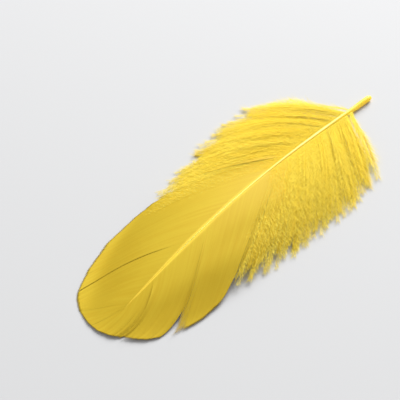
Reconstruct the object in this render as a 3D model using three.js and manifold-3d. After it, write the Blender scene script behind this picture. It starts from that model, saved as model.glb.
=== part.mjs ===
// A goose quill feather lying on its underside. A tapering shaft carries two vanes, whose barbs
// cling together in long locks, and a skirt of downy plumes round its base. It grew in one piece.
import * as THREE from "three";
import { mergeVertices } from "three/addons/utils/BufferGeometryUtils.js";
import Module from "manifold-3d";

// Driving dimensions, in millimetres. X runs from the quill's blunt end towards the tip.
const LENGTH = 160;
const CALAMUS = 13;
const CALAMUS_RADIUS = 1.2;

// The centreline: how high it arches, how far it bows sideways, and how far each is skewed
// along the feather. The bow would begin a little before the quill's end.
const ARCH_HEIGHT = 7.6;
const ARCH_SKEW = 1.17;
const TIP_DROP = 0.9;
const SIDE_BOW = 3.6;
const BOW_SKEW = 0.52;
const BOW_START = -8;

// The vane is domed across the shaft, and flatter where the down begins.
const DOME_RADIUS = 52;
const FLATTER_BY = 0.35;
const FLATTER_BETWEEN = [15, 95];

// The shaft: its radius at stations along X. It has a narrow flat under the quill, where it lies,
// and runs out among the last barbs.
const SHAFT_SIDES = 12;
const FLAT_UNDERSIDE = [1.6, 8.6];
const SHAFT_END = 148;
const SHAFT_PROFILE = [
  [0, 0],
  [0.15, 0.72],
  [0.6, 1.06],
  [FLAT_UNDERSIDE[0], CALAMUS_RADIUS],
  [FLAT_UNDERSIDE[1], CALAMUS_RADIUS],
  [CALAMUS, 1.05],
  [24, 0.9],
  [38, 0.76],
  [54, 0.62],
  [70, 0.54],
  [86, 0.47],
  [102, 0.41],
  [118, 0.37],
  [134, 0.34],
  [SHAFT_END, 0.32],
  [SHAFT_END + 1.2, 0],
];
const SHAFT_STEP = 6;

// Each panel is a stretch of vane between two slits. A row is one barb: where it leaves the shaft
// and at what angle in degrees, the point (u, v) where it ends, measured along and across the
// vane, and how late it bends. Where a slit gapes, its outer part is parted sideways. Angles and
// v are positive on the right side of the shaft.
const PANELS = [
  {
    locks: 6,
    rows: [
      { root: 60, leave: 27.4, u: 115, v: 23.5, bend: 0.55, parted: 0 },
      { root: 70, leave: 28, u: 124, v: 24.8, bend: 0.55, parted: 0 },
      { root: 84, leave: 29, u: 133, v: 24.2, bend: 0.58, parted: 0 },
      { root: 95, leave: 30.5, u: 140.5, v: 21.4, bend: 0.66, parted: 0.6 },
      { root: 102, leave: 32.2, u: 145.8, v: 16.8, bend: 0.79, parted: 3 },
    ],
  },
  {
    locks: 5,
    rows: [
      { root: 102.6, leave: 32.2, u: 148.4, v: 16.5, bend: 0.78, parted: -0.2 },
      { root: 111, leave: 33, u: 152.2, v: 13.8, bend: 0.74, parted: 0 },
      { root: 121, leave: 34, u: 154.8, v: 10, bend: 0.7, parted: 0 },
      { root: 131.1, leave: 35.6, u: 156.6, v: 6.2, bend: 0.66, parted: 0.4 },
    ],
  },
  {
    locks: 5,
    rows: [
      { root: 131.9, leave: 35.6, u: 157.2, v: 5.2, bend: 0.64, parted: -0.1 },
      { root: 139, leave: 28, u: 158.9, v: 2.6, bend: 0.6, parted: 0 },
      { root: 146, leave: 0, u: 160.1, v: -2, bend: 0.5, parted: 0 },
      { root: 147, leave: -26, u: 159.9, v: -7.4, bend: 0.42, parted: 0 },
      { root: 145.2, leave: -44, u: 158.6, v: -12.4, bend: 0.32, parted: 0 },
    ],
  },
  {
    locks: 9,
    rows: [
      { root: 47, leave: -25, u: 100, v: -27.6, bend: 0.52, parted: 0 },
      { root: 58, leave: -29, u: 118, v: -29.2, bend: 0.54, parted: 0 },
      { root: 74, leave: -31, u: 131, v: -28.4, bend: 0.54, parted: 0 },
      { root: 93, leave: -32, u: 143.5, v: -24.8, bend: 0.57, parted: 0 },
      { root: 112.2, leave: -36.6, u: 153.4, v: -20, bend: 0.62, parted: -0.2 },
    ],
  },
  {
    locks: 4,
    rows: [
      { root: 113, leave: -36.6, u: 154, v: -19.2, bend: 0.61, parted: 0.2 },
      { root: 122, leave: -38, u: 155.8, v: -17.7, bend: 0.55, parted: 0 },
      { root: 134, leave: -41, u: 157.2, v: -15.4, bend: 0.42, parted: 0 },
      { root: 144.4, leave: -44, u: 158.2, v: -13.4, bend: 0.32, parted: 0 },
    ],
  },
];
const PARTED_FROM = 0.6;
const VANE_THICKNESS = 0.46;
const LOCK_CROWN = 0.34;
const LOCK_LOBE = 0.03;
const LOCK_ACROSS = 4;
const LOCK_ALONG = 10;

// Left and right barbs start this far to either side of the shaft's middle, inside it.
const ROOT_INSET = 0.08;

// The down: plumes at the base, each a soft flattened spindle along its own barb. The rows are
// for one side, and mirrored for the other. A plume's tip ends unevenly about its barb's end, and
// its profile is [share of length, share of width].
const DOWN_ROWS = [
  { root: 13.6, leave: 52, u: 32, v: 30, bend: 0.5 },
  { root: 18, leave: 52, u: 41, v: 34, bend: 0.5 },
  { root: 27, leave: 50, u: 57, v: 35, bend: 0.5 },
  { root: 38, leave: 44, u: 76, v: 34, bend: 0.5 },
  { root: 50, leave: 34, u: 98, v: 30.5, bend: 0.5 },
  { root: 61, leave: 27.5, u: 113, v: 24.5, bend: 0.54 },
];
const PLUMES_PER_SIDE = 12;
const PLUME_WIDTH = 8.4;
const PLUME_HEIGHT = 2.2;
const PLUME_SIDES = 6;
const PLUME_SWAY = 1.2;
const PLUME_REACH = 1.04;
const PLUME_UNEVENNESS = 0.06;
const UNEVEN_TURN = 2.4;
const PLUME_PROFILE = [
  [0, 0],
  [0.01, 0.36],
  [0.3, 0.66],
  [0.6, 0.95],
  [0.8, 0.9],
  [0.93, 0.5],
  [1, 0],
];

// Heights close to the floor level out softly, so nothing sinks into it.
const FLOOR_HEIGHT = 0.25;
const FLOOR_SOFTNESS = 0.55;

// The shaft's centreline arches over the floor and bows a little to one side.
function shaftPoint(x) {
  const bedded = FLAT_UNDERSIDE[1];
  const along = THREE.MathUtils.clamp((x - bedded) / (LENGTH - bedded), 0, 1);
  const bedHeight = CALAMUS_RADIUS * Math.cos(Math.PI / SHAFT_SIDES);
  const arch = ARCH_HEIGHT * Math.sin(Math.PI * along ** ARCH_SKEW) - TIP_DROP * along ** 3;
  const bowed = THREE.MathUtils.clamp((x - BOW_START) / (LENGTH - BOW_START), 0, 1);
  const bow = SIDE_BOW * Math.sin(Math.PI * bowed ** BOW_SKEW);
  return new THREE.Vector3(x, -bow, bedHeight + arch);
}

// Nothing may sink into the floor: a height near it levels out smoothly just above it.
function settle(height) {
  const over = (height - FLOOR_HEIGHT) / FLOOR_SOFTNESS;
  return FLOOR_HEIGHT + FLOOR_SOFTNESS * Math.log1p(Math.exp(over));
}

// The point of the domed vane at u along the shaft and v across it.
function vanePoint(u, v) {
  const step = 0.5;
  const centre = shaftPoint(Math.min(u, LENGTH));
  centre.x = u;
  const tangent = shaftPoint(Math.min(u, LENGTH - step) + step)
    .sub(shaftPoint(Math.min(u, LENGTH - step) - step))
    .normalize();
  const across = new THREE.Vector3(0, 0, 1).cross(tangent).normalize();
  const normal = tangent.clone().cross(across);
  const domed = THREE.MathUtils.smoothstep(u, ...FLATTER_BETWEEN);
  const radius = DOME_RADIUS / THREE.MathUtils.lerp(FLATTER_BY, 1, domed);
  const point = centre
    .addScaledVector(across, radius * Math.sin(v / radius))
    .addScaledVector(normal, radius * (Math.cos(v / radius) - 1));
  point.z = settle(point.z);
  return point;
}

// One quantity at a share of the way through a list of rows.
function blended(rows, share, key) {
  const place = THREE.MathUtils.clamp(share, 0, 1) * (rows.length - 1);
  const i = Math.min(Math.floor(place), rows.length - 2);
  return THREE.MathUtils.lerp(rows[i][key], rows[i + 1][key], place - i);
}

// The barb at a share of the way through the rows, as a curve over (u, v).
function barbAt(rows, share) {
  const blend = (key) => blended(rows, share, key);
  const start = new THREE.Vector2(blend("root"), 0);
  const end = new THREE.Vector2(blend("u"), blend("v"));
  const angle = THREE.MathUtils.degToRad(blend("leave"));
  const reach = blend("bend") * start.distanceTo(end);
  const knee = new THREE.Vector2(reach * Math.cos(angle), reach * Math.sin(angle)).add(start);
  return new THREE.QuadraticBezierCurve(start, knee, end);
}

// Moves every vertex of a three.js geometry to where place() sends it.
function warped(geometry, place) {
  geometry.deleteAttribute("normal");
  geometry.deleteAttribute("uv");
  const merged = mergeVertices(geometry, 1e-4);
  const position = merged.getAttribute("position");
  const vertex = new THREE.Vector3();
  for (let i = 0; i < position.count; i++) {
    vertex.fromBufferAttribute(position, i);
    const moved = place(vertex);
    position.setXYZ(i, moved.x, moved.y, moved.z);
  }
  return merged;
}

const wasm = await Module();
wasm.setup();

// A closed geometry as a solid. Pieces of the far vane come out mirrored, so they are turned.
function solidOf(geometry) {
  const vertProperties = new Float32Array(geometry.getAttribute("position").array);
  const build = (indices) =>
    new wasm.Manifold(
      new wasm.Mesh({ numProp: 3, vertProperties, triVerts: new Uint32Array(indices) }),
    );
  const made = build(geometry.index.array);
  return made.volume() > 0 ? made : build([...geometry.index.array].reverse());
}

// The shaft is a lathe profile, laid along X with a flat side down and bent along its centreline.
function shaftSolid() {
  const profile = [];
  SHAFT_PROFILE.forEach(([x, radius], i) => {
    if (i > 0) {
      const [lastX, lastRadius] = SHAFT_PROFILE[i - 1];
      const onArch = lastX >= FLAT_UNDERSIDE[1];
      const steps = onArch ? Math.max(1, Math.round((x - lastX) / SHAFT_STEP)) : 1;
      for (let k = 1; k < steps; k++)
        profile.push(
          new THREE.Vector2(
            THREE.MathUtils.lerp(lastRadius, radius, k / steps),
            THREE.MathUtils.lerp(lastX, x, k / steps),
          ),
        );
    }
    profile.push(new THREE.Vector2(radius, x));
  });
  const lathe = new THREE.LatheGeometry(profile, SHAFT_SIDES);
  lathe.rotateY(Math.PI / SHAFT_SIDES);
  return warped(lathe, (at) => {
    const centre = shaftPoint(at.y);
    return new THREE.Vector3(centre.x, centre.y + at.x, centre.z + at.z);
  });
}

// A panel is a thin slab of clinging barbs, from the shaft out to the margin. Each lock in it is
// a little crowned and ends in a rounded lobe.
function panelSolid({ rows, locks }) {
  const box = new THREE.BoxGeometry(1, 1, 1, locks * LOCK_ACROSS, 1, LOCK_ALONG);
  return warped(box, (at) => {
    const share = at.x + 0.5;
    const along = at.z + 0.5;
    const offCentre = 2 * (share * locks - Math.min(Math.floor(share * locks), locks - 1)) - 1;
    const reach = along * (1 - LOCK_LOBE * offCentre ** 2);
    const barb = barbAt(rows, share);
    const { x: u, y: v } = barb.getPoint(reach);
    const inset = ROOT_INSET * Math.sign(barb.v1.y) * (1 - along);
    const opening = THREE.MathUtils.smoothstep(along, PARTED_FROM, 1);
    const parted = blended(rows, share, "parted") * opening;
    const point = vanePoint(u, v + inset + parted);
    const crown = LOCK_CROWN * (1 - offCentre ** 2) * THREE.MathUtils.smoothstep(along, 0, 0.3);
    point.z += crown + VANE_THICKNESS * at.y;
    return point;
  });
}

// A plume is a flattened spindle of down that sways a little along its barb.
function plumeSolid(side, index) {
  const curve = barbAt(DOWN_ROWS, index / (PLUMES_PER_SIDE - 1));
  const outline = PLUME_PROFILE.map(([along, radius]) => new THREE.Vector2(radius, along));
  const half = PLUME_HEIGHT / 2;
  const length = PLUME_REACH - PLUME_UNEVENNESS * (1 + side * Math.cos(UNEVEN_TURN * index));
  return warped(new THREE.LatheGeometry(outline, PLUME_SIDES), (at) => {
    const on = curve.getPoint(at.y * length);
    const ahead = curve.getTangent(at.y * length);
    const swayed = PLUME_SWAY * Math.sin(Math.PI * 2 * at.y + index) * at.y;
    const offset = (PLUME_WIDTH / 2) * at.x + swayed;
    const point = vanePoint(on.x - ahead.y * offset, side * (on.y + ahead.x * offset));
    point.z = Math.max(point.z, half) + half * at.z;
    return point;
  });
}

// Everything grows from the shaft, so the locks and plumes are fused to it in one solid.
function featherGeometry() {
  const pieces = [shaftSolid()];
  for (const panel of PANELS) pieces.push(panelSolid(panel));
  for (const side of [1, -1])
    for (let i = 0; i < PLUMES_PER_SIDE; i++) pieces.push(plumeSolid(side, i));
  const fused = pieces.map(solidOf).reduce((whole, piece) => whole.add(piece));
  const { vertProperties, triVerts } = fused.getMesh();
  return new THREE.BufferGeometry()
    .setAttribute("position", new THREE.BufferAttribute(vertProperties, 3))
    .setIndex(new THREE.BufferAttribute(triVerts, 1));
}

const geometry = featherGeometry();
geometry.computeVertexNormals();
geometry.computeBoundingBox();
const material = new THREE.MeshStandardMaterial({
  name: "dyed feather",
  color: 0xf4cf48,
  roughness: 0.6,
  metalness: 0,
});
const feather = new THREE.Mesh(geometry, material);
feather.name = "feather";

// The frame's origin is on the floor, under the middle of the feather's length and width.
const middle = geometry.boundingBox.getCenter(new THREE.Vector3());
feather.position.set(-middle.x, -middle.y, -geometry.boundingBox.min.z);

const group = new THREE.Group();
group.add(feather);

export default group;
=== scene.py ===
# %% [markdown]
# # A goose feather, barb by barb
#
# A body feather is a tapering shaft with two rows of barbs. Where tiny hooks zip the barbs
# together they make a smooth vane. Near the quill there are no hooks, and the barbs hang loose
# as down. This lesson grows each barb along its own curve over the arched form of the feather,
# so the vane, its slits and its down all come from the same few rules. The near side is +Y, and
# the far side is -Y.

# %% Load the solid feather
import math

import bmesh
import bpy
import numpy as np
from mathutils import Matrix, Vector


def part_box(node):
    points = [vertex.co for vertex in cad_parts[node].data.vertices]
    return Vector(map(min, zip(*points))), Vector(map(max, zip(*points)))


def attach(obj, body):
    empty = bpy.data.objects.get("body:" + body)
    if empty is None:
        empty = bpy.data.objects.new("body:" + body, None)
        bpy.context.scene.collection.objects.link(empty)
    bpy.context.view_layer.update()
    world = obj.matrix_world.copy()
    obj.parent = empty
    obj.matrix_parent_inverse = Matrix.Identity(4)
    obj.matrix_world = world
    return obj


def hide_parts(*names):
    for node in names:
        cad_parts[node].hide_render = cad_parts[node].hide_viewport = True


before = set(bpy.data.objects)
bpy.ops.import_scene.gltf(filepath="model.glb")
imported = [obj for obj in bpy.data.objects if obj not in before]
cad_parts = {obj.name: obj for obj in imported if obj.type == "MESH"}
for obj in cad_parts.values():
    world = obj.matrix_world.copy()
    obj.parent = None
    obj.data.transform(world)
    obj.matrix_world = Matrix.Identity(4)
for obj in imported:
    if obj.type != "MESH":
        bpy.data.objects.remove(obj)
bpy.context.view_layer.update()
MM = 0.001

# %% [markdown]
# ## The form everything follows
#
# Every strand needs a place on one shared surface. It could be read off the solid's mesh, but
# a formula is smoother than facets and gives a direction as well as a place. So the shaft's
# centreline is written as an arch and a sideways bow, and the vane as a dome hung across it.
# All sizes here are in millimetres from the quill's blunt end, and are the solid's own.

# %% The centreline and the domed vane
LENGTH = 160.0
QUILL_RADIUS = 1.2
LIES_UNTIL = 8.6
ARCH, ARCH_SKEW, TIP_DROP = 7.6, 1.17, 0.9
BOW, BOW_SKEW, BOW_START = 3.6, 0.52, -8.0
DOME, FLATTER_BY, FLATTER_BETWEEN = 52.0, 0.35, (15.0, 95.0)
FLOOR_HEIGHT, FLOOR_SOFTNESS = 0.25, 0.55
BED = QUILL_RADIUS * math.cos(math.pi / 12)
MIDDLE_Y = -3.052


def smooth(x, low, high):
    t = np.clip((x - low) / (high - low), 0, 1)
    return t * t * (3 - 2 * t)


def unit(vectors):
    return vectors / np.linalg.norm(vectors, axis=-1, keepdims=True)


def centreline(x):
    along = np.clip((x - LIES_UNTIL) / (LENGTH - LIES_UNTIL), 0, 1)
    arch = ARCH * np.sin(np.pi * along**ARCH_SKEW) - TIP_DROP * along**3
    bowed = np.clip((x - BOW_START) / (LENGTH - BOW_START), 0, 1)
    return np.stack([x, -BOW * np.sin(np.pi * bowed**BOW_SKEW), BED + arch], axis=-1)


def frame_along(x):
    inside = np.minimum(x, LENGTH - 0.5)
    ahead = unit(centreline(inside + 0.5) - centreline(inside - 0.5))
    across = unit(np.cross([0.0, 0.0, 1.0], ahead))
    return ahead, across, np.cross(ahead, across)


def settle(height):
    over = (height - FLOOR_HEIGHT) / FLOOR_SOFTNESS
    return FLOOR_HEIGHT + FLOOR_SOFTNESS * np.log1p(np.exp(over))


def on_vane(u, v):
    centre = centreline(np.minimum(u, LENGTH))
    centre[..., 0] = u
    _, across, up = frame_along(u)
    flatter = FLATTER_BY + (1 - FLATTER_BY) * smooth(u, *FLATTER_BETWEEN)
    radius = (DOME / flatter)[..., None]
    turn = v[..., None] / radius
    place = centre + across * radius * np.sin(turn) + up * radius * (np.cos(turn) - 1)
    place[..., 2] = settle(place[..., 2])
    return place


lowest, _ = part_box("feather")
ORIGIN = np.array([lowest.x / MM, -MIDDLE_Y, 0.0])
top = centreline(np.linspace(0, LENGTH, 99))[:, 2].max()
print("highest point of the centreline:", round(top, 2), "mm")

# %% [markdown]
# ## One barb, as a curve
#
# On the bird each barb leaves the shaft at an angle and bends forward. Three points say that: the
# root, a knee in the leaving direction, and the end on the vane's margin. A few such barbs are
# given for each stretch of vane between two slits, and all those between are blended from them.
# A row holds the root's place along the shaft, the leaving angle, the end's place along and
# across, how far out the knee lies, and how far the end is parted from its stretch. The first
# stretch on each side is a loose lock, and the down has rows of its own that dip under it.

# %% Barbs from rows
ROOT, LEAVE, END_U, END_V, BEND, PARTED = range(6)
PARTS_AFTER = 0.55
NEAR_STRETCHES = [
    [
        (44, 38, 86, 30, 0.5, 0),
        (51, 32.5, 97, 27.5, 0.5, 0),
        (58.5, 28.5, 110, 24.2, 0.53, 0),
    ],
    [
        (59.5, 27.6, 114.6, 23.6, 0.55, 0),
        (70, 28, 124, 24.8, 0.55, 0),
        (84, 29, 133, 24.2, 0.58, 0),
        (95, 30.5, 140.5, 21.4, 0.66, 0.6),
        (102, 32.2, 145.8, 16.8, 0.79, 3),
    ],
    [
        (102, 32.2, 148.4, 16.8, 0.79, 0),
        (111, 33, 152.2, 13.8, 0.74, 0),
        (121, 34, 154.8, 10, 0.7, 0),
        (131.5, 35.6, 156.6, 6, 0.66, 0.4),
    ],
    [
        (131.5, 35.6, 157.2, 5.6, 0.66, 0),
        (139, 28, 158.9, 2.6, 0.6, 0),
        (146, 0, 160.1, -2, 0.5, 0),
    ],
]
FAR_STRETCHES = [
    [
        (40, -36, 74, -33, 0.5, 0),
        (46, -33, 81, -30.5, 0.5, 0),
        (53, -29, 90, -27.6, 0.5, 0),
    ],
    [
        (52.4, -26, 101, -28, 0.52, 0),
        (58, -28, 115, -29, 0.54, 0),
        (74, -31, 131, -28.4, 0.54, 0),
        (93, -32, 143.5, -24.8, 0.57, 0),
        (112.6, -36.6, 153.6, -19.8, 0.62, 0),
    ],
    [
        (112.6, -36.6, 153.8, -19.6, 0.62, 0),
        (122, -38, 155.8, -17.7, 0.55, 0),
        (134, -41, 157.2, -15.4, 0.42, 0),
        (144.8, -44, 158.3, -13.2, 0.32, 0),
    ],
    [
        (144.8, -44, 158.5, -12.8, 0.32, 0),
        (147, -26, 159.9, -7.4, 0.42, 0),
        (146, 0, 160.1, -2, 0.5, 0),
    ],
]
DOWN_ROWS = [
    (13.6, 52, 32, 30, 0.5, 0),
    (18, 52, 41, 34, 0.5, 0),
    (27, 50, 57, 35, 0.5, 0),
    (38, 44, 76, 34, 0.5, 0),
    (50, 34, 98, 30.5, 0.5, 0),
    (63, 27, 116, 24, 0.54, 0),
]


def barb_points(rows, share, along):
    """Points (u, v) of the barbs at these shares of the way through the rows."""
    rows = np.array(rows, float)
    place = share * (len(rows) - 1)
    lower = np.clip(np.floor(place), 0, len(rows) - 2).astype(int)
    blended = rows[lower] + (rows[lower + 1] - rows[lower]) * (place - lower)[..., None]
    root, leave, end_u, end_v, bend, parted = np.moveaxis(blended, -1, 0)
    reach = bend * np.hypot(end_u - root, end_v)
    knee_u = root + reach * np.cos(np.radians(leave))
    knee_v = reach * np.sin(np.radians(leave))
    start, middle, end = (1 - along) ** 2, 2 * along * (1 - along), along**2
    u = start * root + middle * knee_u + end * end_u
    return u, middle * knee_v + end * end_v + parted * smooth(along, PARTS_AFTER, 1)


for which, stretches in (("near", NEAR_STRETCHES), ("far", FAR_STRETCHES)):
    print("the", which, "vane has", len(stretches), "stretches of barbs")

# %% [markdown]
# ## Strands in bulk
#
# Each barb is a thin closed prism, and each barbule a sliver pointed at both ends. Modelling one
# and copying it by an Array modifier keeps the counts in one place, and the copies are realized
# as plain mesh, which an exporter can read. Each copy is then laid along its own curve: its
# height becomes the way along the strand, and its section is turned across it.

# %% Prism, array and laying
PITCH = 4.0
STEP = 0.004


def prism(sides, steps, ridged=False):
    """A closed prism one unit long. A ridged one keeps a crease along its two side edges."""
    bm = bmesh.new()
    bmesh.ops.create_cone(bm, cap_ends=True, segments=sides, radius1=1, radius2=1, depth=1)
    uprights = [e for e in bm.edges if abs(e.verts[0].co.z - e.verts[1].co.z) > 0.5]
    bmesh.ops.subdivide_edges(bm, edges=uprights, cuts=steps - 1, use_grid_fill=True)
    bmesh.ops.translate(bm, vec=(0, 0, 0.5), verts=bm.verts)
    for face in bm.faces:
        face.smooth = True
    for edge in bm.edges:
        beside = all(abs(abs(v.co.x) - 1) < 0.01 for v in edge.verts)
        edge.smooth = not (ridged and beside)
    return bm


def sliver():
    """A closed three-sided sliver one unit long, pointed at both ends."""
    bm = bmesh.new()
    bmesh.ops.create_cone(bm, cap_ends=True, segments=3, radius1=1, radius2=0, depth=0.6)
    bmesh.ops.translate(bm, vec=(0, 0, 0.7), verts=bm.verts)
    thick_end = [f for f in bm.faces if all(v.co.z < 0.5 for v in f.verts)]
    foot = bmesh.ops.poke(bm, faces=thick_end)["verts"]
    bmesh.ops.translate(bm, vec=(0, 0, -0.4), verts=foot)
    return bm


def mesh_of(bm, name):
    """Ends a bmesh as a mesh of this name."""
    mesh = bpy.data.meshes.new(name)
    bm.to_mesh(mesh)
    bm.free()
    return mesh


def in_scene(name, data):
    """A new object for this mesh, lamp or camera, in the scene."""
    thing = bpy.data.objects.new(name, data)
    bpy.context.scene.collection.objects.link(thing)
    return thing


def array_of(bm, count, name):
    """A mesh of many copies of one strand, and each copy's own section and height."""
    holder = in_scene(name, mesh_of(bm, name))
    array = holder.modifiers.new("copies", "ARRAY")
    array.count = count
    array.use_relative_offset = False
    array.use_constant_offset = True
    array.constant_offset_displace = (PITCH, 0, 0)
    settled = holder.evaluated_get(bpy.context.evaluated_depsgraph_get())
    many = bpy.data.meshes.new_from_object(settled)
    bpy.data.objects.remove(holder)
    many.name = name
    local = np.empty(len(many.vertices) * 3, np.float32)
    many.vertices.foreach_get("co", local)
    local = local.reshape(count, -1, 3).astype(float)
    local[..., 0] -= PITCH * np.arange(count)[:, None]
    return many, local


def lay_strands(mesh, local, path, half_width, half_height):
    """Lays every copy along path(along), which gives points and the surface's way up there."""
    across, upward, along = local[..., 0], local[..., 1], local[..., 2]
    point, up = path(along)
    ahead = unit(path(np.minimum(along + STEP, 1))[0] - path(np.maximum(along - STEP, 0))[0])
    side = unit(np.cross(up, ahead))
    lifted = np.cross(ahead, side)
    wide = (across * half_width(along))[..., None]
    high = (upward * half_height(along))[..., None]
    placed = (point + side * wide + lifted * high + ORIGIN) * MM
    mesh.vertices.foreach_set("co", placed.reshape(-1).astype(np.float32))
    mesh.update()


def note_on_uv(mesh, local, numbers):
    """Keeps the way along the strand and the strand's own number in a UV map, for the dye."""
    along = local[..., 2]
    strand = np.broadcast_to(numbers.reshape(-1, 1), along.shape)
    uv = mesh.uv_layers.new(name="strand")
    corner = np.empty(len(mesh.loops), np.int32)
    mesh.loops.foreach_get("vertex_index", corner)
    pairs = np.stack([along.reshape(-1), strand.reshape(-1)], axis=-1)[corner]
    uv.data.foreach_set("uv", pairs.reshape(-1).astype(np.float32))


def joined(name, meshes):
    """One mesh of all the strands, with every closed strand's faces turned outwards."""
    bm = bmesh.new()
    for mesh in meshes:
        bm.from_mesh(mesh)
    bmesh.ops.recalc_face_normals(bm, faces=bm.faces)
    return mesh_of(bm, name)


def add_piece(name, mesh, material):
    """Puts a finished piece in the scene, on the feather's body and in place of its solid."""
    piece = in_scene(name, mesh)
    mesh.materials.clear()
    mesh.materials.append(material)
    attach(piece, "root")
    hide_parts("feather")
    mesh.calc_loop_triangles()
    print(name, "has", len(mesh.loop_triangles), "triangles")


one = sliver()
print("one barbule has", len(one.faces), "faces")
one.free()

# %% [markdown]
# ## Shader maths in plain sums
#
# A finish is easier to read as a sum than as a web of nodes. One small class wraps a socket, so
# that adding or multiplying two of them adds the Math node for it. Anything else, such as a noise
# or a blend, comes from one method that takes the node's type, its settings and its inputs.

# %% Signal and Finish
class Signal:
    """A shader socket that can be added to, subtracted from and multiplied."""

    def __init__(self, finish, socket):
        self.finish = finish
        self.socket = socket

    def beside(self, output):
        """Another output of the same node."""
        return Signal(self.finish, self.socket.node.outputs[output])

    def maths(self, operation, first, second):
        return self.finish.node("ShaderNodeMath", {"operation": operation}, {0: first, 1: second})

    def __add__(self, other):
        return self.maths("ADD", self, other)

    def __sub__(self, other):
        return self.maths("SUBTRACT", self, other)

    def __mul__(self, other):
        return self.maths("MULTIPLY", self, other)

    def __rsub__(self, other):
        return self.maths("SUBTRACT", other, self)

    __radd__ = __add__
    __rmul__ = __mul__


class Finish:
    """A material under construction."""

    def __init__(self, name):
        self.material = bpy.data.materials.new(name)
        self.material.use_nodes = True
        self.tree = self.material.node_tree
        self.tree.nodes.clear()

    def node(self, kind, settings=None, inputs=None, output=0):
        made = self.tree.nodes.new(kind)
        for key, value in (settings or {}).items():
            setattr(made, key, value)
        for key, value in (inputs or {}).items():
            if isinstance(value, Signal):
                self.tree.links.new(value.socket, made.inputs[key])
            else:
                made.inputs[key].default_value = value
        return None if output is None else Signal(self, made.outputs[output])

    def noise(self, place, scale, detail):
        settings = {"Vector": place, "Scale": scale, "Detail": detail}
        return self.node("ShaderNodeTexNoise", None, settings)

    def object_place(self):
        """The Object coordinates, in metres."""
        return self.node("ShaderNodeTexCoord", output=3)

    def blend(self, factor, first, second):
        """A colour that goes from first to second."""
        slots = {0: factor, 6: first, 7: second}
        return self.node("ShaderNodeMix", {"data_type": "RGBA"}, slots, output=2)

    def mixed(self, factor, first, second):
        """A surface that is this share of the second and the rest of the first."""
        return self.node("ShaderNodeMixShader", None, {0: factor, 1: first, 2: second})

    def between(self, value, low, high):
        """0 below low, 1 above high, smooth between."""
        settings = {"interpolation_type": "SMOOTHSTEP"}
        return self.node("ShaderNodeMapRange", settings, {0: value, 1: low, 2: high})

    def close(self, shader):
        """Ends the material with this surface."""
        self.node("ShaderNodeOutputMaterial", None, {"Surface": shader}, output=None)
        print("finish:", self.material.name, len(self.tree.nodes), "nodes")
        return self.material


def linear(share):
    return share / 12.92 if share <= 0.04045 else ((share + 0.055) / 1.055) ** 2.4


def rgb(red, green, blue):
    """A colour given as it looks on screen, 0 to 255, as the shader's linear values."""
    return linear(red / 255), linear(green / 255), linear(blue / 255), 1


# %% [markdown]
# ## Dyed keratin
#
# The whole feather is keratin dyed one yellow, so every part is a relative of the same finish. The
# barbs are satiny and thin enough to let light through, so a little of the light is sent on by a
# Translucent shader. Down is duller, and it is given a paler colour than the vane: partly the fine
# fibres' own paleness, partly painted light that makes up for the shade the fluff casts on itself.
# As its barbules are finer still than these slivers, a share of each is left clear. The dye takes
# unevenly from barb to barb: streaks read the strand's own number, so they run with the barbs and
# never across them.

# %% Finish of the barbs
KERATIN_IOR = 1.54
STREAKS_ALONG, STREAKS_ACROSS = 1.4, 70.0
CLOUD_SCALE = 38.0
STREAK_SHARE = 0.65
UNEVEN_FROM, UNEVEN_TO = 0.36, 0.66


def uneven_dye(finish):
    """0 where the dye took deeply, 1 where it stayed pale."""
    strand = finish.node("ShaderNodeUVMap", {"uv_map": "strand"})
    along = finish.node("ShaderNodeSeparateXYZ", None, {0: strand})
    number = along.beside(1)
    sides = {0: along * STREAKS_ALONG, 1: number * STREAKS_ACROSS}
    where = finish.node("ShaderNodeCombineXYZ", None, sides)
    streaks = finish.noise(where, 1.0, 4.0)
    clouds = finish.noise(finish.object_place(), CLOUD_SCALE, 2.0)
    uptake = streaks * STREAK_SHARE + clouds * (1 - STREAK_SHARE)
    return finish.between(uptake, UNEVEN_FROM, UNEVEN_TO)


def barb_finish(name, pale, deep, through, roughness, gloss, cover):
    """Through is the share of light sent on, and cover the share of the strand that isn't clear."""
    finish = Finish(name)
    uneven = uneven_dye(finish)
    satin = finish.node(
        "ShaderNodeBsdfPrincipled",
        None,
        {
            "Base Color": finish.blend(uneven, deep, pale),
            "Roughness": roughness + uneven * 0.08,
            "IOR": KERATIN_IOR,
            "Specular IOR Level": gloss,
        },
    )
    glow = finish.node("ShaderNodeBsdfTranslucent", None, {"Color": pale})
    barb = finish.mixed(through, satin, glow)
    if cover < 1:
        barb = finish.mixed(cover, finish.node("ShaderNodeBsdfTransparent"), barb)
    return finish.close(barb)


vane_finish = barb_finish(
    "dyed_vane",
    pale=rgb(218, 189, 48),
    deep=rgb(212, 178, 38),
    through=0.2,
    roughness=0.55,
    gloss=0.15,
    cover=1,
)
# Paler than the vane: partly the down's own colour, partly painted light making up for the shade its
# fluff casts on itself.
lightened_down_finish = barb_finish(
    "dyed_down_lightened",
    pale=rgb(255, 241, 114),
    deep=rgb(255, 233, 88),
    through=0.3,
    roughness=0.8,
    gloss=0.05,
    cover=0.6,
)

# %% [markdown]
# ## Finish of the shaft
#
# The bare quill is clear, glossy horn, so half of the light goes on through it and it glows. Past
# the down the shaft is the rachis, which is duller and filled with pith, so it hides the light,
# and towards the tip it is so thin that it took the dye as a pale line. All three change with the
# place along the feather, so the finish reads the Object coordinate X. Fine lengthwise lines
# come from a noise stretched along X, which also gives a slight relief.

# %% Shaft finish
HORN_UNTIL, RACHIS_FROM = 12.0, 46.0
THIN_AFTER, THIN_FROM = 58.0, 92.0
LINE_STRETCH, LINE_SCALE, LINE_RELIEF = 14, 2600.0, 0.00003
MOTTLE_SCALE = 260.0
RACHIS_THROUGH, HORN_THROUGH = 0.12, 0.5
RACHIS_ROUGHNESS, HORN_ROUGHNESS = 0.42, 0.3


def along_feather(finish, x, first, last):
    """0 before the first place along the feather and 1 after the last, both in millimetres."""
    return finish.between(x, (ORIGIN[0] + first) * MM, (ORIGIN[0] + last) * MM)


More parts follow.
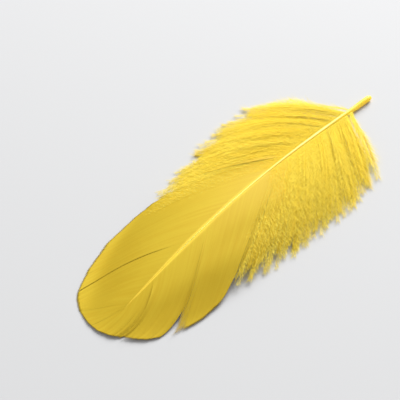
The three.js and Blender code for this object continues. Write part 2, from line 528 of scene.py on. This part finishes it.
def shaft_colours(finish, place, x, bare, lines):
    mottled = finish.noise(place, MOTTLE_SCALE, 2.0)
    horn = finish.blend(mottled, rgb(255, 235, 92), rgb(255, 243, 116))
    thick = finish.blend(lines, rgb(230, 190, 60), rgb(230, 200, 78))
    thin = finish.blend(lines, rgb(252, 224, 90), rgb(252, 232, 108))
    towards_tip = along_feather(finish, x, THIN_AFTER, THIN_FROM)
    return finish.blend(bare, finish.blend(towards_tip, thick, thin), horn)


def shaft_finish(name):
    finish = Finish(name)
    place = finish.object_place()
    x = finish.node("ShaderNodeSeparateXYZ", None, {0: place})
    bare = 1 - along_feather(finish, x, HORN_UNTIL, RACHIS_FROM)
    stretch = {"Vector": place, "Scale": (LINE_STRETCH, 1, 1)}
    stretched = finish.node("ShaderNodeMapping", {"vector_type": "TEXTURE"}, stretch)
    lines = finish.noise(stretched, LINE_SCALE, 3.0)
    relief = {"Height": lines, "Distance": LINE_RELIEF, "Strength": 0.5}
    keratin = finish.node(
        "ShaderNodeBsdfPrincipled",
        None,
        {
            "Base Color": shaft_colours(finish, place, x, bare, lines),
            "Roughness": RACHIS_ROUGHNESS + bare * (HORN_ROUGHNESS - RACHIS_ROUGHNESS),
            "IOR": KERATIN_IOR,
            "Specular IOR Level": 0.3,
            "Subsurface Weight": 0.7,
            "Subsurface Radius": (1.0, 0.85, 0.3),
            "Subsurface Scale": 0.0012,
            "Normal": finish.node("ShaderNodeBump", None, relief),
        },
    )
    glow = finish.node("ShaderNodeBsdfTranslucent", None, {"Color": rgb(255, 228, 92)})
    through = RACHIS_THROUGH + bare * (HORN_THROUGH - RACHIS_THROUGH)
    return finish.close(finish.mixed(through, keratin, glow))


quill_finish = shaft_finish("dyed_shaft")

# %% [markdown]
# ## The shaft
#
# The quill is a blunt tube with a small pit where it once fed the growing feather. Above it the
# shaft turns squarish and solid, with a groove along its underside. It could be a curve with a
# bevel, but a groove and a changing section ask for rings: one circle is extruded ring by ring,
# its blunt end inset and pushed in for the pit, and every ring is then laid on the centreline.

# %% Shaft rings
SHAFT_SIDES = 20
SHAFT_END = 151
RINGS_NEAR_THE_END = [0, 0.15, 0.45, 0.9, 1.3]
RINGS_FROM, RING_SPACING = 1.8, 1.2
PIT_RIM, PIT_LIP, PIT_NECK, PIT_DEPTH, PIT_TAPER = 0.3, 0.1, 0.22, 1.1, 0.6


def shaft_rings():
    """A straight tube of unit radius along Z, with its pit in the blunt end."""
    bm = bmesh.new()
    bmesh.ops.create_circle(bm, cap_ends=False, segments=SHAFT_SIDES, radius=1)
    ring = list(bm.edges)
    blunt_end = list(bm.edges)
    spaced = np.arange(RINGS_FROM, SHAFT_END, RING_SPACING)
    rings = np.concatenate([RINGS_NEAR_THE_END, spaced, [SHAFT_END]])
    for before, after in zip(rings, rings[1:]):
        grown = bmesh.ops.extrude_edge_only(bm, edges=ring)["geom"]
        moved = [g for g in grown if isinstance(g, bmesh.types.BMVert)]
        bmesh.ops.translate(bm, vec=(0, 0, after - before), verts=moved)
        ring = [g for g in grown if isinstance(g, bmesh.types.BMEdge)]
        ring = [e for e in ring if all(v in moved for v in e.verts)]
    bmesh.ops.contextual_create(bm, geom=ring)
    rim = bmesh.ops.contextual_create(bm, geom=blunt_end)["faces"]
    bmesh.ops.inset_region(bm, faces=rim, thickness=PIT_RIM, depth=PIT_LIP)
    bmesh.ops.inset_region(bm, faces=rim, thickness=PIT_NECK, depth=0)
    floor_of_pit = list({v for f in rim for v in f.verts})
    bmesh.ops.translate(bm, vec=(0, 0, PIT_DEPTH), verts=floor_of_pit)
    bmesh.ops.scale(bm, vec=(PIT_TAPER, PIT_TAPER, 1), verts=floor_of_pit)
    bmesh.ops.recalc_face_normals(bm, faces=bm.faces)
    for face in bm.faces:
        face.smooth = True
    return mesh_of(bm, "shaft")


straight = shaft_rings()
print("the shaft has", len(straight.vertices) // SHAFT_SIDES, "rings")

# %% [markdown]
# ## Laying the shaft
#
# Each ring takes its radius from the table and is set across the centreline there. The quill
# stands free on the table. From the first barbs on, the shaft sinks between them step by step,
# as the vane grips it lower on the bird, and towards the tip only a fine line is left.

# %% Shaft
SHAFT_PROFILE = [
    (0, 0.66),
    (0.15, 0.84),
    (0.45, 1),
    (0.9, 1.1),
    (1.6, 1.2),
    (5, 1.2),
    (8.6, 1.13),
    (13, 0.96),
    (24, 0.84),
    (38, 0.74),
    (54, 0.6),
    (70, 0.5),
    (86, 0.43),
    (102, 0.36),
    (118, 0.27),
    (134, 0.15),
    (147, 0.07),
    (SHAFT_END, 0.02),
]
SINKS = [(0.3, 13, 40), (0.4, 50, 85), (0.5, 108, 132)]
SQUARENESS, SQUARES_BETWEEN = 0.1, (10, 40)
GROOVE_DEPTH, GROOVE_NARROWNESS = 0.45, 6
GROOVE_OPENS, GROOVE_CLOSES = (14, 24), (120, 145)
LOWEST = 0.005


def lay_shaft(mesh):
    at = np.empty(len(mesh.vertices) * 3, np.float32)
    mesh.vertices.foreach_get("co", at)
    at = at.reshape(-1, 3).astype(float)
    side, up, x = at[:, 0], at[:, 1], at[:, 2]
    radius = np.interp(x, *zip(*SHAFT_PROFILE))
    angle = np.arctan2(up, side)
    square = 1 + SQUARENESS * smooth(x, *SQUARES_BETWEEN) * (1 - np.cos(4 * angle)) / 2
    below = np.clip(-np.sin(angle), 0, 1) ** GROOVE_NARROWNESS
    open_there = smooth(x, *GROOVE_OPENS) * (1 - smooth(x, *GROOVE_CLOSES))
    groove = 1 - GROOVE_DEPTH * below * open_there
    centre = centreline(x)
    _, across, upward = frame_along(x)
    sunk = sum(share * smooth(x, first, last) for share, first, last in SINKS)
    centre -= upward * (sunk * radius)[:, None]
    reach = (radius * square * groove)[:, None]
    placed = centre + across * side[:, None] * reach + upward * up[:, None] * reach
    placed[:, 2] = np.maximum(placed[:, 2], LOWEST)
    mesh.vertices.foreach_set("co", ((placed + ORIGIN) * MM).reshape(-1).astype(np.float32))
    mesh.update()


lay_shaft(straight)
add_piece("shaft", joined("shaft", [straight]), quill_finish)

# %% [markdown]
# ## The vane
#
# A zipped vane looks like satin because its barbs lie edge to edge. Each barb here is a thin
# ridged strip, a little wider than the gap to its neighbour, so the strips close the surface.
# A slit shows where one stretch of barbs ends: its last barbs ride up over the first ones of the
# next stretch, which run on a little underneath. That leaves a fine dark crease, as on the bird,
# and no cut is needed. Where a slit gapes, the ones underneath draw back from the opening.
#
# Within a stretch the barbs cling in locks, each a little crowned, drawn together at its end and
# tilted. The first barbs of a stretch may hang loose in small tufts, and the last may fray.

# %% One stretch of vane
rng = np.random.default_rng(7)
BARB_SPACING = 0.42
UNDERLAP = 3
OVERLAP_STEP = 0.36
RIDES_OVER = 3.5
TUFT_RUN, TUFT_SWAY = 2.3, 0.9
STRAY = 0.35
UNEVEN_LOCKS = 0.28
DRAWN, LIFTED, TILTED = 0.035, (-0.03, 0.05), 0.04
UNEVEN_ENDS = 0.009
TAPER, LOOSE_TAPER = 0.012, 0.2


def stretch_of_barbs(rows, locks, over=0.0, under=0.0, loose_for=0.1, frayed=0.0, gapes=False):
    """What each barb of a stretch needs: where it grows, and how it lies among its neighbours."""
    ends = np.array(rows, float)
    root_run = abs(ends[-1, ROOT] - ends[0, ROOT])
    margin_run = np.hypot(*np.diff(ends[:, END_U:BEND], axis=0).T).sum()
    run = max(root_run, margin_run)
    count = int(run / BARB_SPACING)
    share = (np.arange(-UNDERLAP, count) + 0.5) / count
    total = len(share)
    place = share * run

    edges = np.linspace(0, 1, locks + 1)
    edges[1:-1] += rng.uniform(-UNEVEN_LOCKS, UNEVEN_LOCKS, locks - 1) / locks
    lock = np.clip(np.searchsorted(edges, share) - 1, 0, locks - 1)
    middle = (edges[lock] + edges[lock + 1]) / 2
    off = (share - middle) / ((edges[lock + 1] - edges[lock]) / 2)

    slack = np.where(share < 0, 0, 1 - smooth(place, 0, loose_for))
    fray = smooth(share, 0.6, 1) * frayed
    way = (share - share[0]) * run / TUFT_RUN
    tuft = way.astype(int)
    tufts = tuft[-1] + 1
    gathered = (tuft + 0.5 - way) * TUFT_RUN * 0.5
    aside = TUFT_SWAY * rng.uniform(-1, 1, tufts)[tuft] + gathered + rng.uniform(-STRAY, STRAY, total)
    rides = over * smooth(place, run - RIDES_OVER, run) - under * (1 - smooth(place, -1.2, RIDES_OVER))

    barbs = dict(
        share=share,
        middle=middle,
        off=off,
        draw=rng.uniform(0.0, DRAWN, locks)[lock],
        lift=rng.uniform(*LIFTED, locks)[lock]
        + slack * (rng.uniform(0, 0.35, tufts)[tuft] + rng.uniform(0, 0.12, total)),
        tilt=rng.uniform(-TILTED, TILTED, locks)[lock],
        rides=rides,
        sway=(slack * aside + fray * rng.uniform(-0.5, 0.7, total)) / run,
        width=1 - 0.5 * slack,
        length=1
        - rng.uniform(0, UNEVEN_ENDS, total)
        - fray * rng.uniform(0, 0.09, total)
        - slack * (rng.uniform(0, 0.16, tufts)[tuft] + rng.uniform(0, 0.06, total)),
        taper=TAPER + LOOSE_TAPER * np.maximum(slack, fray),
        spread=np.where((share < 0) & gapes, 0.0, 1.0),
    )
    barbs = {quality: values[:, None] for quality, values in barbs.items()}
    return barbs, count, run


print("barbs ride up", OVERLAP_STEP, "mm where two stretches meet")

# %% The path of its barbs
CROWN = 0.05
SWELL, SWELL_ALONG, SWELL_ACROSS = 0.14, 7.0, 3.1


def along_stretch(rows, barbs, shift=0.0):
    """The path of every barb of a stretch, or of the lines a little beside them."""

    def path(along):
        reach = along * barbs["length"]
        drawn = 1 - barbs["draw"] * smooth(reach, 0.8, 1.0)
        share = barbs["middle"] + (barbs["share"] - barbs["middle"] + shift) * drawn
        share = share * (1 + (barbs["spread"] - 1) * smooth(reach, 0.5, 0.75))
        u, v = barb_points(rows, share + barbs["sway"] * reach**1.5, reach)
        point = on_vane(u, v)
        _, _, up = frame_along(u)
        crown = CROWN * (1 - barbs["off"] ** 2) + barbs["lift"] + barbs["tilt"] * barbs["off"]
        swell = SWELL * np.sin(u / SWELL_ALONG + v / SWELL_ACROSS) * smooth(np.abs(v), 3, 12)
        ride = OVERLAP_STEP * barbs["rides"] * smooth(reach, 0.04, 0.3)
        point[..., 2] += (crown + swell) * smooth(reach, 0.05, 0.6) + ride
        return point, up

    return path


# %% The width and height of its barbs
COVERS = 0.66
NARROWEST, BLUNTEST = 0.05, 0.02
HEIGHT_AT_ROOT, THINS_BY = 0.036, 0.014


def strip_width(path, beside, barbs):
    """Half of the width that lets each strip reach over its neighbours, narrowing to its end."""

    def half_width(along):
        here = path(along)[0]
        gap = beside(along)[0] - here
        ahead = unit(path(np.minimum(along + 0.01, 1))[0] - path(np.maximum(along - 0.01, 0))[0])
        apart = np.linalg.norm(np.cross(gap, ahead), axis=-1)
        narrowed = 1 - (1 - barbs["width"]) * smooth(along, 0.2, 0.6)
        taper = np.sqrt(np.clip((1.0 - along) / barbs["taper"], BLUNTEST, 1))
        return np.maximum(COVERS * apart * narrowed, NARROWEST) * taper

    return half_width


def strip_height(along):
    return HEIGHT_AT_ROOT - THINS_BY * along


print("a barb's strip is", 2 * HEIGHT_AT_ROOT, "mm high at its root")


# %% A whole side of the vane
BARB_STEPS = 28


def vane_side(name, stretches):
    laid = []
    for number, (rows, habits) in enumerate(stretches):
        barbs, count, run = stretch_of_barbs(rows, **habits)
        total = len(barbs["share"])
        mesh, local = array_of(prism(4, BARB_STEPS, ridged=True), total, name)
        path = along_stretch(rows, barbs)
        beside = along_stretch(rows, barbs, shift=1.0 / count)
        lay_strands(mesh, local, path, strip_width(path, beside, barbs), strip_height)
        note_on_uv(mesh, local, barbs["share"] * run / 100 + number)
        laid.append(mesh)
    add_piece(name, joined(name, laid), vane_finish)


NEAR_HABITS = [
    dict(locks=3, loose_for=40.0),
    dict(locks=6, over=1.0, loose_for=8.0, frayed=1.0),
    dict(locks=4, over=1.2, under=0.5, gapes=True),
    dict(locks=3, under=1.0),
]
FAR_HABITS = [
    dict(locks=3, over=1.0, loose_for=40.0),
    dict(locks=7, over=0.35, loose_for=5.0),
    dict(locks=4, under=0.25),
    dict(locks=3, under=0.06),
]
vane_side("vane_near", zip(NEAR_STRETCHES, NEAR_HABITS))
vane_side("vane_far", zip(FAR_STRETCHES, FAR_HABITS))

# %% [markdown]
# ## The down
#
# Down barbs have the same curves with no hooks to hold them, so they bunch, sway and cross. The
# ones nearest the quill are the fluffiest and the most uneven. The last ones are nearly zipped,
# and they dip under the vane, so that it grows out of the down with no hard start.

# %% Down barbs
DOWN_BARBS = 64
CROWDS_TO_TIP = 0.62
FLUFFY_UNTIL = 0.3
ZIPS_BETWEEN = (0.55, 0.95)
BARB_SIDES, DOWN_STEPS = 3, 18
BARB_RADIUS, THICKER_AT_ROOT = 0.055, 1.15
BUNCHING = 0.35
BARB_CLEARANCE = 0.15


def down_barbs(side, first, last):
    """What each down barb needs, for those between two shares of the way up the down."""
    count = DOWN_BARBS
    even = (np.arange(count) + rng.uniform(0.1, 0.9, count)) / count
    share = (first + (last - first) * even) ** CROWDS_TO_TIP
    early = 1 - smooth(share, 0, FLUFFY_UNTIL)
    zipped = smooth(share, *ZIPS_BETWEEN)
    share = share - 0.18 * early * rng.uniform(0, 1, count) ** 2
    barbs = dict(
        share=share,
        early=early,
        zipped=zipped,
        bunch=np.sin(share * 34 + side) + 0.7 * np.sin(share * 81 + 2 * side),
        length=rng.uniform(0.78, 1.0, count) + early * rng.uniform(-0.25, 0.2, count),
        sway=rng.uniform(-1.1, 1.1, count) * (1 + 0.8 * early),
        turns=rng.uniform(0.6, 1.4, count),
        start=rng.uniform(0, 2 * np.pi, count),
    )
    lift = 0.7 + 0.2 * np.cos(share * 47 + side) + rng.uniform(0.0, 0.9, count)
    barbs["lift"] = lift * (1 - zipped) - 0.35 * zipped
    return barbs


def along_down(side, barbs):
    """The path of the down barbs, or of those picked out."""

    def path(along, pick=slice(None)):
        column = (-1,) + (1,) * (along.ndim - 1)
        own = {quality: values[pick].reshape(column) for quality, values in barbs.items()}
        reach = along * own["length"]
        u, v = barb_points(DOWN_ROWS, own["share"] + 0 * reach, reach)
        u2, v2 = barb_points(DOWN_ROWS, own["share"] + 0 * reach, reach + 0.01)
        away = np.hypot(u2 - u, v2 - v)
        ripple = own["sway"] * np.sin(2 * np.pi * own["turns"] * along + own["start"]) * along
        aside = BUNCHING * own["bunch"] * along**1.5 + ripple
        u, v = u - (v2 - v) / away * aside, v + (u2 - u) / away * aside
        point = on_vane(u, side * v)
        raised = point[..., 2] + np.sin(np.pi * np.clip(along * 0.9, 0, 1)) * own["lift"]
        point[..., 2] = np.maximum(raised, BARB_CLEARANCE)
        _, _, up = frame_along(u)
        return point, up

    return path


def thinning(along):
    return BARB_RADIUS * (THICKER_AT_ROOT - along)


print("each part of the down has", DOWN_BARBS, "barbs")

# %% [markdown]
# ## Barbules
#
# Each down barb carries long soft barbules on both sides. Hair particles would be quick but are
# lost in an export, so every barbule is a slender three-sided sliver, laid from its own place on
# its barb. It leans well forward, which makes silky tufts, where one that stands out makes a palm
# leaf. It is flattened and faces up, so that it catches the light as a soft surface does.

# %% Barbules and the parts of the down
BARBULES_PER_BARB = 480
BARBULE_RADIUS, FLATNESS = 0.058, 0.2
BARBULE_LENGTHS = (1.6, 5.0)
LEANS_FORWARD = (0.8, 2.4)
ROUND_THE_BARB, ROLL, CURL = 0.6, 0.5, 0.4
BARBULE_CLEARANCE = 0.06


def along_barbules(path, barbs, owner):
    """The path of the barbules, for the barb that each of them grows on."""
    total = len(owner)
    foot = np.tile(np.linspace(0.0, 1.0, BARBULES_PER_BARB), DOWN_BARBS)
    foot = np.clip(foot + rng.uniform(-0.004, 0.004, total), 0.005, 0.999)
    left = np.where(np.arange(total) % 2 == 0, 1.0, -1.0)
    around = rng.uniform(-ROUND_THE_BARB, ROUND_THE_BARB, total)
    forward = rng.uniform(*LEANS_FORWARD, total)
    forward = forward + 1.6 * (1 - smooth(foot, 0.2, 0.7)) + 0.7 * smooth(foot, 0.85, 1)
    zipped, early = barbs["zipped"][owner], barbs["early"][owner]
    shorter = (1 - 0.2 * zipped) * (1 + 0.9 * early * rng.uniform(0, 1, total) ** 2)
    size = rng.uniform(*BARBULE_LENGTHS, total) * (0.6 + 0.4 * np.sin(np.pi * foot)) * shorter
    curl = rng.uniform(-CURL, CURL, (total, 3))
    root, up = path(foot[:, None], owner)
    root, up = root[:, 0], up[:, 0]
    ahead = unit(path(foot[:, None] + STEP, owner)[0][:, 0] - root)
    across = unit(np.cross(up, ahead)) * left[:, None]
    rolled = unit(up + across * rng.uniform(-ROLL, ROLL, total)[:, None])
    outwards = across * np.cos(around)[:, None] + up * np.sin(around)[:, None]
    leaning = unit(outwards + ahead * forward[:, None])

    def barbule(along):
        far = (along * size[:, None])[..., None]
        bent = curl[:, None, :] * (along**2)[..., None] * 0.5 * size[:, None, None]
        point = root[:, None] + leaning[:, None] * far + bent
        point[..., 2] = np.maximum(point[..., 2], BARBULE_CLEARANCE)
        return point, np.broadcast_to(rolled[:, None], point.shape)

    return barbule


def full_width(along):
    return BARBULE_RADIUS


def flat_height(along):
    return BARBULE_RADIUS * FLATNESS


def down_part(name, side, first, last):
    barbs = down_barbs(side, first, last)
    path = along_down(side, barbs)
    strands, local = array_of(prism(BARB_SIDES, DOWN_STEPS), DOWN_BARBS, name)
    lay_strands(strands, local, path, thinning, thinning)
    note_on_uv(strands, local, barbs["share"] * 4)

    owner = np.repeat(np.arange(DOWN_BARBS), BARBULES_PER_BARB)
    barbule = along_barbules(path, barbs, owner)
    fluff, local = array_of(sliver(), len(owner), name)
    lay_strands(fluff, local, barbule, full_width, flat_height)
    note_on_uv(fluff, local, barbs["share"][owner] * 4)
    add_piece(name, joined(name, [strands, fluff]), lightened_down_finish)


for side, where in ((1, "near"), (-1, "far")):
    down_part(f"down_{where}_quill", side, 0.0, 0.5)
    down_part(f"down_{where}_vane", side, 0.5, 1.0)

# %% [markdown]
# ## Floor, light and camera
#
# The feather lies on a plain pale table under a soft studio light. One large lamp behind and
# above makes the quill end bright and lets the vane darken towards its tip, and a pale sky fills
# the shadows.

# %% Floor
FLOOR_SIZE = 3
FLOOR_GREY = (0.5, 0.5, 0.504, 1)


def floor_finish():
    finish = Finish("pale_floor")
    plain = {"Base Color": FLOOR_GREY, "Roughness": 0.9}
    return finish.close(finish.node("ShaderNodeBsdfPrincipled", None, plain))


bm = bmesh.new()
bmesh.ops.create_grid(bm, x_segments=1, y_segments=1, size=FLOOR_SIZE)
floor = in_scene("floor", mesh_of(bm, "floor"))
floor.data.materials.append(floor_finish())

# %% Light
SKY_COLOUR, SKY_STRENGTH = (0.98, 0.99, 1, 1), 0.5
LAMP_PLACE, LAMP_WIDTH, LAMP_WATTS = (-1.97, -0.69, 1.22), 1.55, 134.0


def aim(thing, at):
    thing.rotation_euler = (at - thing.location).to_track_quat("-Z", "Y").to_euler()


world = bpy.data.worlds.new("studio")
bpy.context.scene.world = world
world.use_nodes = True
sky = world.node_tree.nodes["Background"]
sky.inputs["Color"].default_value = SKY_COLOUR
sky.inputs["Strength"].default_value = SKY_STRENGTH

disc = bpy.data.lights.new("lamp", "AREA")
disc.shape = "DISK"
disc.size = LAMP_WIDTH
disc.energy = LAMP_WATTS
lamp = in_scene("lamp", disc)
lamp.location = LAMP_PLACE
aim(lamp, Vector((0, 0, 0)))
print("lamp at", LAMP_PLACE, "m")

# %% Camera
AZIMUTH, ELEVATION = math.radians(132.955), math.radians(50.0)
AIM = Vector((ORIGIN + (93.217, -14.02, 5.0)) * MM)
DISTANCE = 0.42916

back = Vector(
    (
        math.sin(AZIMUTH) * math.cos(ELEVATION),
        -math.cos(AZIMUTH) * math.cos(ELEVATION),
        math.sin(ELEVATION),
    )
)
lens = bpy.data.cameras.new("camera")
lens.lens = 100
lens.sensor_width = 36
camera = in_scene("camera", lens)
camera.location = AIM + back * DISTANCE
aim(camera, AIM)
bpy.context.scene.camera = camera
bpy.context.scene.view_settings.view_transform = "Standard"
print("camera at", [round(c, 3) for c in camera.location])
